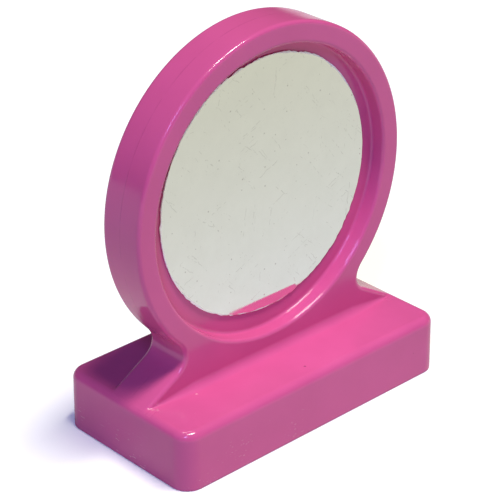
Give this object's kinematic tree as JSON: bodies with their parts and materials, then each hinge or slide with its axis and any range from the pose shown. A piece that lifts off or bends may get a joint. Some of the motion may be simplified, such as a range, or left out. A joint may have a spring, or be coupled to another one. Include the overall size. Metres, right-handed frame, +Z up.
{
  "type": "toy standing mirror",
  "caption": "Small free-standing toy mirror: round frame on a flared foot and oblong hollow base, with a silver foil disc recessed in the front.",
  "frame": {"origin": "middle of the base's underside, on the surface that it stands on", "axes": "+Z up; +X along the base's long side; the mirror faces -Y"},
  "size_m": [0.0318, 0.0164, 0.0369],
  "materials": {
    "pink_plastic": "glossy injection moulded, through-coloured warm pink, lightly handled",
    "foil_adhesive": "thin adhesive film",
    "mirror_foil": "bright metallised foil with a ragged cut edge, fine scratches and specks"
  },
  "bodies": {
    "root": {"moulded_stand": "pink_plastic", "foil_adhesive": "foil_adhesive", "mirror_foil": "mirror_foil"}
  },
  "joints": []
}
